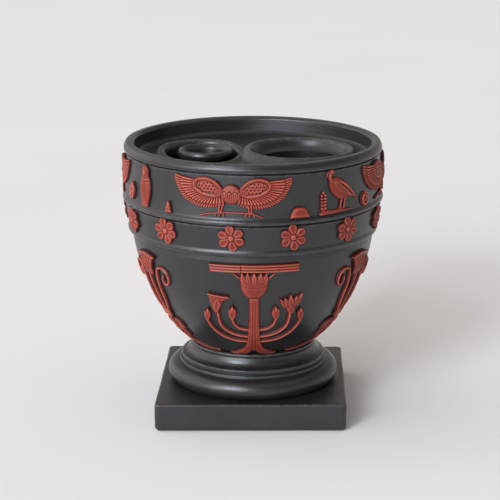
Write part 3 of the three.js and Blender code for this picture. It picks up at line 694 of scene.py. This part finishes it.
def ibis():
    relief = Relief(-11.2, 11.6, -10.9, 9.6)
    relief.stroke(curve([(-9.8, -9.6), (-4, -9.5), (2, -9.4), (7.2, -9.3)], 16), 0.75, 0.3, 0.5, 0.95)
    relief.area([(-9.4, -9.6), (-9.2, -7.9), (-7, -8.2), (-1, -8.6), (5, -9)], 0.5, 0.85, 0.4)
    relief.stroke([(-8.3, -8.6), (-8.3, -1.4)], 0.42, 0.3, 0.4, 0.8)
    for k in range(5):
        for side in (-1, 1):
            relief.ellipse(-8.3 + side * 0.85, -7.3 + 1.35 * k, 0.72, 0.6, 0.45, 1.2, tilt=0.6 * side)
    relief.ellipse(-8.3, -0.7, 0.6, 0.85, 0.45, 1.1)
    for top, low in (((1.3, -4.2), (0.3, -8)), ((3.1, -4.4), (2.3, -8.2))):
        relief.stroke([top, low], 0.5, 0.38, 0.5, 1.1)
        for reach in (-1.4, 0.9):
            relief.stroke([low, (low[0] + reach, low[1] - 0.9)], 0.38, 0.28, 0.45, 0.85)
    body = curve([(-4.1, 4.6), (-2, 5.3), (1.4, 4), (4.2, 2.2), (6.6, -0.4), (8.6, -2.8), (10.7, -5.4),
                  (9.2, -5.2), (6.6, -4), (3.4, -4.4), (0.2, -4.6), (-2.4, -3), (-4.4, -0.8), (-5.3, 1.8),
                  (-5.1, 4)], 80, closed=True)
    relief.area(body, 0.5, 1.35, 2.6)
    relief.petal((-3.4, 3.4), (9.4, -4.4), 5, 0.95, 1.6, belly=0.38, dome=1.2)
    for k in range(5):
        quill = [(-1.2 + 1.5 * k, 3.6 - 1.0 * k), (2.4 + 1.2 * k, 0.6 - k), (6.4 + 0.6 * k, -2.4 - 0.5 * k)]
        relief.score(curve(quill, 12), 0.2, 0.3)
    for k in range(4):
        relief.pit(-4.4 + 0.5 * k, 2.4 - 1.3 * k, 0.26, 0.25)
    relief.stroke(curve([(-4.2, 3.4), (-4.9, 5.2), (-4.7, 6.7), (-4, 7.5)], 10), 1.0, 0.72, 0.5, 1.25)
    relief.ellipse(-4, 7.6, 1.25, 0.95, 0.6, 1.4)
    relief.stroke(curve([(-4.5, 7.8), (-5.7, 7.5), (-6.3, 6.7), (-6.4, 5.7)], 10), 0.45, 0.28, 0.45, 0.95)
    relief.stroke([(-3.6, 8), (-3.2, 9)], 0.42, 0.3, 0.45, 0.95)
    relief.pit(-4.3, 7.8, 0.2, 0.3)
    return relief.flat_body()


# Jar with a head-shaped lid, and the small signs

def jar():
    relief = Relief(-5.4, 5.4, -10, 9.2)
    half = [(0, -9.3), (2, -9.1), (2.4, -7.8), (3.1, -5.6), (3.7, -2.6), (3.75, 0.2), (3.2, 2.6),
            (2.2, 4), (0, 4.2)]
    relief.area(curve(half, 40), 0.5, 1.6, 2.8, mirror=True)
    cloth = [(0, 2.6), (2.3, 2.8), (2.3, 5), (2.1, 6.8), (1.3, 8.2), (0, 8.6)]
    relief.area(curve(cloth, 24), 0.6, 1.35, 0.9, mirror=True)
    for side in (-1, 1):
        relief.score([(side * 1.55, 7.2), (side * 1.75, 3.4)], 0.2, 0.3)
    relief.ellipse(0, 5.5, 1.15, 1.8, 1.0, 1.85)
    relief.stroke([(0, 5.9), (0, 4.9)], 0.2, 0.28, 1.75, 1.95)
    relief.score([(-0.7, 4.5), (0.7, 4.5)], 0.16, 0.2)
    for side in (-1, 1):
        relief.pit(side * 0.5, 6.2, 0.18, 0.25)
    relief.score(curve([(-3.2, 2.4), (0, 1.8), (3.2, 2.4)], 12), 0.22, 0.3)
    relief.score([(-2.2, -7.9), (2.2, -7.9)], 0.2, 0.25)
    return relief.flat_body()


def oval(rx, ry):
    """An oval sign: a spiral cord coiled on a plate."""
    relief = Relief(-rx - 0.7, rx + 0.7, -ry - 0.7, ry + 0.7)
    relief.ellipse(0, 0, rx, ry, 0.45, 0.8)
    spiral = [(0.1, -0.2), (0.35, 0.1), (0.15, 0.5), (-0.35, 0.45), (-0.6, 0), (-0.4, -0.55), (0.15, -0.75),
              (0.65, -0.35), (0.78, 0.15), (0.55, 0.65), (0.05, 0.85)]
    relief.stroke(curve([(x * rx, y * ry) for x, y in spiral], 50), 0.48, 0.42, 0.6, 1.45)
    return relief.flat_body()


def mound():
    relief = Relief(-5, 5, -3, 3)
    half = [(0, -2.42), (2.4, -2.4), (4.4, -2.3), (4.2, -1.4), (3.3, 0.8), (2, 2.1), (0, 2.35)]
    relief.area(curve(half, 40), 0.6, 1.65, 1.3, mirror=True)
    return relief.flat_body()


def cone():
    relief = Relief(-2.9, 2.9, -3.3, 3.3)
    half = [(0, -2.55), (1.7, -2.4), (1.5, -0.8), (1.05, 1), (0.6, 2.2), (0, 2.5)]
    relief.area(curve(half, 24), 0.5, 1.45, 1.1, mirror=True)
    relief.score([(-1.5, -1.1), (1.5, -1.1)], 0.2, 0.25)
    return relief.flat_body()


# Lotus column

def lotus_branches(relief):
    """Three curved branches a side, a keen ridge along each."""
    branches = (
        ([(1.6, -36.3), (6, -35.2), (8.4, -32.4), (9.1, -29.6)], 0.95, 0.85, 1.25),
        ([(1.6, -41), (7, -39.8), (11.3, -37.2), (14.2, -33.2), (15.5, -25.6)], 1.05, 1.0, 1.35),
        ([(1.6, -44.7), (8, -43.8), (12.6, -41.6), (16.6, -38), (19.2, -34), (20, -31.4)], 1.0, 0.9, 1.25),
    )
    for side in (-1, 1):
        for points, start, end, high in branches:
            relief.stroke(curve([(side * x, y) for x, y in points], 24), start, end, 0.4, high, keen=True)


def lotus_flowers(relief):
    """Two buds a side, a closed cup on the left and an open flower on the right."""
    for side in (-1, 1):
        for lean, width, tall in ((-1.3, 2.2, 6.9), (1.3, 2.2, 7.1), (0, 2.7, 8.6)):
            relief.petal((side * 9.1, -30.4), (side * 9.1 + lean, -30.4 + tall), width, 0.4, 1.5, blunt=0.7)
        for lean, width, tall in ((-1.1, 1.9, 6.6), (1.2, 1.9, 6.4), (0.2, 2.5, 8)):
            relief.petal((side * 20, -32.2), (side * 20.1 + lean, -32.2 + tall), width, 0.4, 1.45, blunt=0.7)
    cup = [(-16.9, -26.4), (-17.9, -24.4), (-18.7, -22), (-19.2, -19.6), (-19.7, -16.3), (-16.6, -16.5),
           (-13.4, -17), (-10.4, -17.4), (-12.6, -19.6), (-13.8, -22.2), (-14.4, -24.6), (-14.9, -26.4)]
    relief.area(cup, 0.4, 1.35, 1.7)
    brim = [(-19.6, -16.3), (-16.8, -16.7), (-13.6, -17.1), (-10.6, -17.4)]
    relief.stroke(curve(brim, 20), 0.36, 0.3, 0.9, 1.6)
    relief.petal((-16, -26.2), (-15.4, -18), 3.9, 1.0, 1.75, belly=0.55, groove=0.2)
    for tip, width, high in (
        ((10.7, -18.2), 2.2, 1.3), ((20.9, -16.2), 2.3, 1.3), ((12.9, -17.6), 2.6, 1.5),
        ((18.4, -17.2), 2.6, 1.5), ((15.5, -16.4), 3, 1.7),
    ):
        relief.petal((15.5, -26.2), tip, width, 0.4, high, belly=0.6, groove=0.15)
    relief.petal((15.5, -26.4), (15.5, -21.4), 4, 0.9, 1.7, belly=0.4)


def lotus_column():
    relief = Relief(-21.8, 21.8, -57, -0.6)
    lotus_branches(relief)
    lotus_flowers(relief)
    shaft = [(-2.2, -17.2), (-2.25, -30), (-2.6, -40), (-3, -46), (-4.2, -50), (-6.8, -53.2), (-10.2, -55.6),
             (-6.5, -55.5), (-2.6, -55.2), (-1, -53), (0, -51.4)]
    relief.area(shaft, 0.5, 1.35, 1.1, mirror=True)
    for x in (-1.4, -0.5, 0.5, 1.4):
        flute = [(x, -18.6), (x * 1.05, -30), (x * 1.2, -42), (x * 1.6, -49), (x * 3, -53.6)]
        relief.score(curve(flute, 26), 0.2, 0.14)
    for k in range(7):
        y = -35.2 - 0.95 * k
        relief.score([(-2.6, y), (2.6, y)], 0.2, 0.2)
    for y in (-17.7, -18.5):
        relief.score([(-2.3, y), (2.3, y)], 0.2, 0.3)
    bell = [(-2.3, -17.4), (-4, -16), (-5.3, -13.6), (-5.95, -10.5), (-5.8, -8), (-5.3, -6.6), (0, -6.2)]
    relief.area(bell, 0.5, 1.7, 2.6, mirror=True)
    for side in (-1, 1):
        sepal = [(side * 4.9, -9.4), (side * 6.6, -7.4), (side * 8.9, -5.4)]
        relief.stroke(curve(sepal, 12), 0.75, 0.3, 0.5, 1.4, keen=True)
    relief.score(curve([(-5.9, -11), (-2, -11.9), (2, -11.9), (5.9, -11)], 20), 0.2, 0.2)
    petals = ((-4.6, -0.6, 2.1), (4.6, 0.6, 2.1), (-2.5, -0.3, 2.3), (2.5, 0.3, 2.3), (0, 0, 2.5))
    for x, lean, width in petals:
        high = 2.0 - 0.05 * abs(x)
        relief.petal((x * 0.85, -11.2), (x + lean, -5), width, 1.0, high, belly=0.5, groove=0.2)
    for k in range(3):
        y = -2.1 - 1.22 * k
        relief.stroke([(-18.5 + 0.25 * k, y), (18.4, y)], 0.66, 0.66, 0.5, 1.5)
    relief.score([(-5.6, -1.2), (-5.5, -5.6)], 0.22, 0.4)
    relief.score([(-5, -1.2), (-4.9, -5.6)], 0.16, 0.25)
    return relief.flat_body()


# Scroll plant

def scroll_plant():
    relief = Relief(-17.4, 17.4, -57, -1.2)
    for side in (-1, 1):
        spiral = [(10.4 + (4.9 - 0.66 * t) * math.cos(2.9 - 0.98 * t),
                   -13 + (5.2 - 0.48 * t) * math.sin(2.9 - 0.98 * t)) for t in np.arange(0.4, 6.6, 0.55)]
        volute = [(1.4, -32.4), (3.8, -28.4), (5, -23), (5.2, -17.6), *spiral]
        relief.stroke(curve([(side * x, y) for x, y in volute], 90), 1.0, 0.8, 0.45, 1.55, keen=True)
        relief.petal((side * 2.2, -36), (side * 6.4, -41.6), 3.2, 0.45, 1.4, belly=0.45, groove=0.2)
        relief.petal((side * 1.6, -40), (side * 5.2, -47.2), 2.8, 0.45, 1.35, belly=0.45, groove=0.2)
    lip = [(0, -2.8), (3.4, -3.1), (6.1, -4), (4.7, -6.4), (3.7, -9.2), (3.2, -12.8), (0, -13.2)]
    relief.area(curve(lip, 40), 0.5, 1.3, 1.2, mirror=True)
    brim = [(-6.3, -4.3), (-3, -3.5), (0, -3.3), (3, -3.5), (6.3, -4.3)]
    relief.stroke(curve(brim, 24), 0.75, 0.75, 0.9, 1.8)
    for x in (-3.6, -1.8, 0, 1.8, 3.6):
        relief.petal((x * 0.5, -12.8), (x * 1.15, -4.8), 1.9, 0.9, 1.65, belly=0.6, groove=0.2)
    relief.stroke([(0, -12.6), (0, -33)], 1.15, 0.85, 0.5, 1.5, keen=True)
    relief.stroke(curve([(0, -34), (0.2, -42), (0, -50), (-0.2, -55)], 20), 1.5, 0.5, 0.45, 1.35, keen=True)
    relief.petal((0, -33.6), (0, -48.6), 3.4, 0.8, 1.7, belly=0.4, groove=0.3)
    for side in (-1, 1):
        root = curve([(side * 0.6, -48.5), (side * 3, -52.4), (side * 7.6, -54.6), (side * 13.8, -55.6)], 24)
        relief.stroke(root, 1.15, 0.5, 0.45, 1.2, keen=True)
    for y in (-31.9, -33, -34.1):
        relief.stroke([(-2.6, y), (2.6, y)], 0.55, 0.55, 0.6, 1.7)
    return relief.flat_body()


SUN_HEIGHT, ROSETTE_HEIGHT = 109, 90.2
SIGNS = {  # share of the way from one winged sun to the next, and height up the wall
    "mound": (0.322, 100.8), "ibis": (0.54, 108.6), "round": (0.727, 101.6),
    "tall": (0.352, 103.5), "jar": (0.49, 107.9), "cone": (0.662, 101.2),
}


def place_row(name, flat, angles, wrap, *where):
    for i, angle in enumerate(angles):
        apply_relief(f"{name}_{i + 1}", flat, wrap, angle, *where)


def place_reliefs():
    place_row("winged_sun", winged_sun(), SUN_ANGLES, on_wall, SUN_HEIGHT)
    flower = rosette()
    seen = len(ROSETTE_ANGLES)
    last = ROSETTE_ANGLES[-1]
    gap = (360 + ROSETTE_ANGLES[0] - last) / (ROSETTE_COUNT - seen + 1)
    for i in range(ROSETTE_COUNT):
        angle = ROSETTE_ANGLES[i] if i < seen else last + gap * (i - seen + 1)
        turn = math.radians(ROSETTE_TURNS[i] if i < seen else 8 + 7 * math.sin(2.4 * i))
        points = flower[0].copy()
        spin = np.array([(math.cos(turn), math.sin(turn)), (-math.sin(turn), math.cos(turn))])
        points[:, :2] = points[:, :2] @ spin
        apply_relief(f"rosette_{i + 1:02d}", (points, *flower[1:]), on_wall, angle, ROSETTE_HEIGHT)
    forms = {
        "mound": mound(), "ibis": ibis(), "round": oval(2.9, 3.15),
        "tall": oval(2.5, 4), "jar": jar(), "cone": cone(),
    }

    def sign(kind, name, interval):
        share, height = SIGNS[kind]
        span = (SUN_ANGLES[(interval + 1) % 4] - SUN_ANGLES[interval] + 360) % 360
        apply_relief(name, forms[kind], on_wall, SUN_ANGLES[interval] + span * share, height)

    for interval, n in ((0, 1), (2, 2)):
        sign("mound", f"mound_{n}", interval)
        sign("ibis", f"ibis_{n}", interval)
        sign("round", f"oval_{2 * n - 1}", interval)
    for interval, n in ((3, 1), (1, 2)):
        sign("tall", f"oval_{2 * n}", interval)
        sign("jar", f"jar_{n}", interval)
        sign("cone", f"cone_{n}", interval)
    place_row("lotus_column", lotus_column(), LOTUS_ANGLES, on_underside)
    place_row("scroll_plant", scroll_plant(), SCROLL_ANGLES, on_underside)


place_reliefs()


# Deck: a plate with two lips, as one height field

def deck():
    pitch = 0.35
    x = np.arange(-52, 52.2, pitch)
    gx, gy = np.meshgrid(x, x)
    out = np.hypot(gx, gy)
    large, small = np.hypot(gx - LARGE["x"], gy), np.hypot(gx - SMALL["x"], gy)

    def section(distance, points):
        return np.interp(distance, *curve(points, 120).T)

    plate = section(out, [
        (0, 112.6), (44, 112.6), (46.5, 112.65), (48.6, 112.9), (50.2, 113.45), (51.2, 114.2),
        (51.9, 115.1), (52.5, 116.2),
    ])
    left = section(small, [
        (15.8, 113.9), (16.1, 115.6), (16.8, 116.6), (18, 117), (19.2, 116.2), (20.6, 114.7),
        (22.2, 113.4), (24.2, 112.6), (27, 112.2),
    ])
    away = np.maximum(small, 1)  # the left lip is lower in front and to the right
    slant = np.clip(0.75 + 0.5 * gy / away - 0.18 * (gx - SMALL["x"]) / away, 0.28, 1.05)
    left = DECK["foot_of_lip"] + (left - DECK["foot_of_lip"]) * slant
    right = section(large, [
        (17.8, 112), (18.6, 112.3), (19.6, 113), (20.4, 114.1), (21, 115.4), (21.6, 116.5),
        (22.5, 117.1), (23.5, 117), (24.4, 116.1), (25.3, 114.8), (26.4, 113.6), (27.9, 112.9),
        (30, 112.6), (34, 112.3),
    ])
    height = plate
    for lip in (left, right):
        blend = np.clip(0.5 + (lip - height) / 1.2, 0, 1)
        height = height + (lip - height) * blend + 0.25 * blend * (1 - blend)
    height = np.where(large < LARGE["inside"], right, np.where(small < SMALL["inside"], left, height))
    depth = np.minimum(DECK["radius"] - out, np.minimum(large - LARGE["hole"], small - SMALL["hole"]))
    # Ridges and hollows of the deck: lighter as wear and painted highlight, darker as painted shade.
    edge = np.clip((height - soften(height, round(1.2 / pitch))) / 0.35, -1, 1)
    points, faces, wear_and_painted_light = cut_out(x, x, depth, height, edge, DECK["low"])
    piece = build("deck", points, faces, wear_and_painted_light)
    piece.data.set_sharp_from_angle(angle=math.radians(55))


deck()


# Plinth: a slab with eased edges, a little uneven as hand-made ones are

CORNERS = [(1, 1), (-1, 1), (-1, -1), (1, -1)]
SIDE_STEPS, CORNER_STEPS = 40, 10
SKEW = {"left": 0.8, "front": 0.9}
WAVE = 0.05
TOP_RINGS = (0.985, 0.95, 0.88, 0.78, 0.66, 0.5, 0.34, 0.18)


def slab_ring(inset):
    """The slab's outline in plan at this inset, with rounded corners."""
    half = PLINTH["side"] / 2 - inset
    radius = max(PLINTH["corner"] - inset * 0.5, 0.3)

    def at(corner, angle):
        centre = np.array(CORNERS[corner % 4]) * (half - radius)
        return centre + radius * np.array((math.cos(angle), math.sin(angle)))

    ring = []
    for k in range(4):
        start = k * math.pi / 2
        ring += [at(k, start + a) for a in np.linspace(0, math.pi / 2, CORNER_STEPS + 1)]
        end = at(k + 1, start + math.pi / 2)
        ring += [ring[-1] + (end - ring[-1]) * t for t in np.linspace(0, 1, SIDE_STEPS + 1)[1:-1]]
    return np.array(ring)


def uneven(points):
    """A ring of the slab, slightly waved and skewed towards its left and its front."""
    half = PLINTH["side"] / 2
    wave = WAVE * (np.sin(points[:, 0] * 0.21 + points[:, 2] * 0.5) + np.sin(points[:, 1] * 0.17 + 1) - 2)
    points[:, :2] *= (1 + wave / half)[:, None]
    left, front = np.clip(-points[:, 0] / half, 0, 1), np.clip(-points[:, 1] / half, 0, 1)
    skew = SKEW["left"] * left * points[:, 1] / half
    points[:, 1] += SKEW["front"] * front * points[:, 0] / half
    points[:, 0] += skew
    return points


def plinth():
    thick, foot, edge = PLINTH["thick"], PLINTH["foot_round"], PLINTH["edge_round"]
    levels = [(foot * (1 - math.sin(a)), foot * (1 - math.cos(a))) for a in np.linspace(0, math.pi / 2, 9)]
    levels += [(0, z) for z in np.linspace(2.6, thick - 1.1, 8)]
    levels += [(edge * (1 - math.cos(a)), thick - edge * (1 - math.sin(a)))
               for a in np.linspace(0, math.pi / 2, 8)]
    rings = [(slab_ring(inset), z) for inset, z in levels]
    rings += [(rings[-1][0] * share, thick) for share in TOP_RINGS]
    # The rings of the rounded top edge are marked as edge: a lighter line, partly wear, partly painted
    # highlight.
    wear_and_painted_light = [0, *(float(z > thick - edge) for _, z in levels), *[0] * len(TOP_RINGS), 0]
    stack_rings("plinth", [uneven(np.column_stack([ring, np.full(len(ring), z)])) for ring, z in rings],
                (0, 0, 0), (0, 0, thick), wear_and_painted_light)


plinth()


# Studio: a pale floor, soft boxes at the front left and weak light from all round

BOXES = {
    "key": {"azimuth": -32, "elevation": 22.5, "wide": 16, "tall": 15, "radiance": 22},
    "key_right": {"azimuth": -16, "elevation": 16, "wide": 16, "tall": 29, "radiance": 6.7},
    "key_top": {"azimuth": -32, "elevation": 38, "wide": 16, "tall": 15, "radiance": 6.7},
    "key_left": {"azimuth": -48, "elevation": 8.5, "wide": 16, "tall": 15, "radiance": 7.7},
}
BOX_DISTANCE = 30
BOX_COLOUR = (0.9, 0.95, 1.06)
LOBES = [((-90, 12), 1.27), ((180, 12), 0.25), ((90, 12), 0.21)]  # direction, strength
LOBE_REACH = 0.4
LOW_BAND = {"full": 0.15, "none": 0.45, "strength": 0.35}
HIGH_BAND = {"full": 0.9, "none": 0.6, "strength": 0.59}
SKY_COLOUR = (1.06, 0.99, 0.93)
FLOOR_SIZE, FLOOR_BACK = 14, 3  # metres, and how far its middle lies behind the vase


def towards(azimuth, elevation):
    """A direction from the vase, by degrees to the right of its front and up."""
    a, e = math.radians(azimuth), math.radians(elevation)
    return (math.sin(a) * math.cos(e), -math.cos(a) * math.cos(e), math.sin(e))


def sky():
    """Light from all round: a low band, a patch overhead and wide lobes, most of it from the left."""
    world = bpy.data.worlds.new("studio")
    world.use_nodes = True
    nodes = Nodes(world.node_tree)
    place = nodes.node("ShaderNodeTexCoord")["Generated"]

    def ramp(source, low, high, strength):
        return nodes.span(source, low, high, 0, strength, interpolation_type="SMOOTHSTEP")

    up = nodes.node("ShaderNodeSeparateXYZ", {0: place})["Z"]
    shares = [ramp(up, band["none"], band["full"], band["strength"]) for band in (LOW_BAND, HIGH_BAND)]
    for direction, strength in LOBES:
        dot = nodes.node("ShaderNodeVectorMath", {0: place, 1: towards(*direction)}, operation="DOT_PRODUCT")
        shares.append(ramp(dot["Value"], LOBE_REACH, 1, strength))
    total = shares[0]
    for share in shares[1:]:
        total = nodes.math("ADD", total, share)
    nodes.feed(world.node_tree.nodes["Background"], {"Color": (*SKY_COLOUR, 1), "Strength": total})
    bpy.context.scene.world = world


def soft_box(name, azimuth, elevation, wide, tall, radiance):
    """A rectangular light that fills the given angles as the vase sees it."""
    data = bpy.data.lights.new(name, "AREA")
    data.shape = "RECTANGLE"
    data.size = 2 * BOX_DISTANCE * math.tan(math.radians(wide / 2))
    data.size_y = 2 * BOX_DISTANCE * math.tan(math.radians(tall / 2))
    data.energy = radiance * math.pi * data.size * data.size_y
    data.color = BOX_COLOUR
    lamp = bpy.data.objects.new(name, data)
    lamp.location = [BOX_DISTANCE * c for c in towards(azimuth, elevation)]
    lamp.rotation_euler = (math.radians(90 - elevation), 0, math.radians(azimuth))
    bpy.context.scene.collection.objects.link(lamp)


def studio():
    bpy.ops.mesh.primitive_plane_add(size=FLOOR_SIZE, location=(0, FLOOR_BACK, 0))
    floor = bpy.context.object
    floor.name = "floor"
    shader = Shader("pale_paper")
    colour = shader.mix(shader.noise(6), (0.845, 0.84, 0.845), (0.865, 0.857, 0.86))
    floor.data.materials.append(shader.surface({"Base Color": colour, "Roughness": 0.9}))
    for name, box in BOXES.items():
        soft_box(name, **box)
    sky()
    bpy.context.scene.view_settings.view_transform = "Standard"


studio()


# Camera: where the photograph was taken from

CAMERA = {
    "lens": 126.0, "sensor": 36, "pitch": 14.91, "distance": 779.2, "aim": 70.54, "azimuth": 0.96,
    "shift": -0.00584, "sees_to": 60,
}


def camera():
    pitch, turn = math.radians(CAMERA["pitch"]), math.radians(CAMERA["azimuth"])
    out = CAMERA["distance"] * math.cos(pitch)
    data = bpy.data.cameras.new("camera")
    data.lens, data.sensor_width, data.shift_x = CAMERA["lens"], CAMERA["sensor"], CAMERA["shift"]
    data.clip_end = CAMERA["sees_to"]
    made = bpy.data.objects.new("camera", data)
    made.location = (out * math.sin(turn) * MM, -out * math.cos(turn) * MM,
                     (CAMERA["aim"] + CAMERA["distance"] * math.sin(pitch)) * MM)
    made.rotation_euler = (math.pi / 2 - pitch, 0, turn)
    bpy.context.scene.collection.objects.link(made)
    bpy.context.scene.camera = made


camera()
